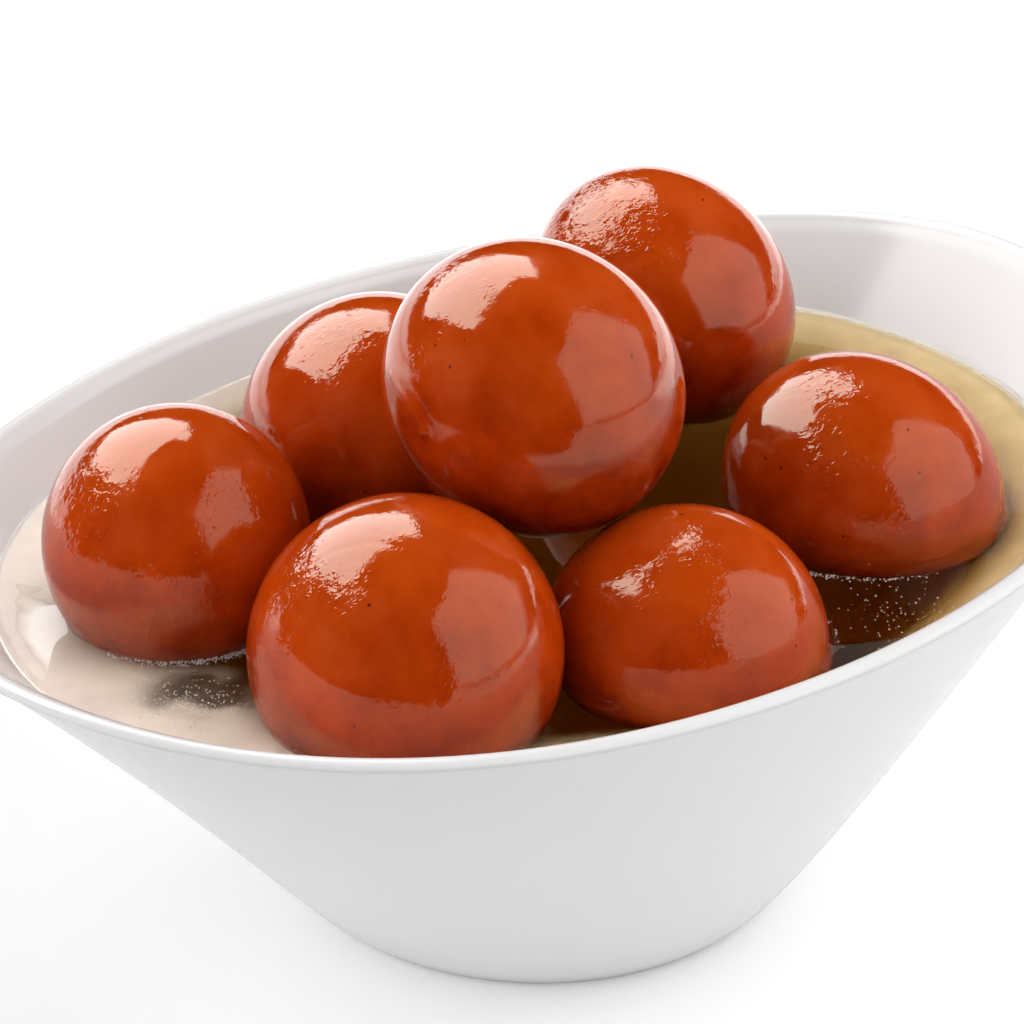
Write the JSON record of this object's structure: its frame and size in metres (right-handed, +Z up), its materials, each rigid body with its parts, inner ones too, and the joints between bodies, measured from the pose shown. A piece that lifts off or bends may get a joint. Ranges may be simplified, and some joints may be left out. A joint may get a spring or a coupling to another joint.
{
  "type": "bowl of gulab jamun",
  "caption": "Fried milk-dough balls heaped in sugar syrup in an oval white porcelain bowl with raised ends and a small round foot.",
  "frame": {"origin": "middle of the foot's underside, on the surface that the bowl stands on", "axes": "+X along the length of the oval bowl, +Y across it, +Z up"},
  "size_m": [0.1764, 0.1258, 0.0956],
  "materials": {
    "porcelain": "white glazed porcelain",
    "syrup": "clear golden sugar syrup",
    "fried_dough": "deep-fried milk dough, wet with syrup"
  },
  "bodies": {
    "root": {"bowl": "porcelain", "syrup": "syrup", "ball_top": "fried_dough", "ball_back": "fried_dough", "ball_right": "fried_dough", "ball_front_right": "fried_dough", "ball_front": "fried_dough", "ball_left": "fried_dough", "ball_back_left": "fried_dough"}
  },
  "joints": []
}
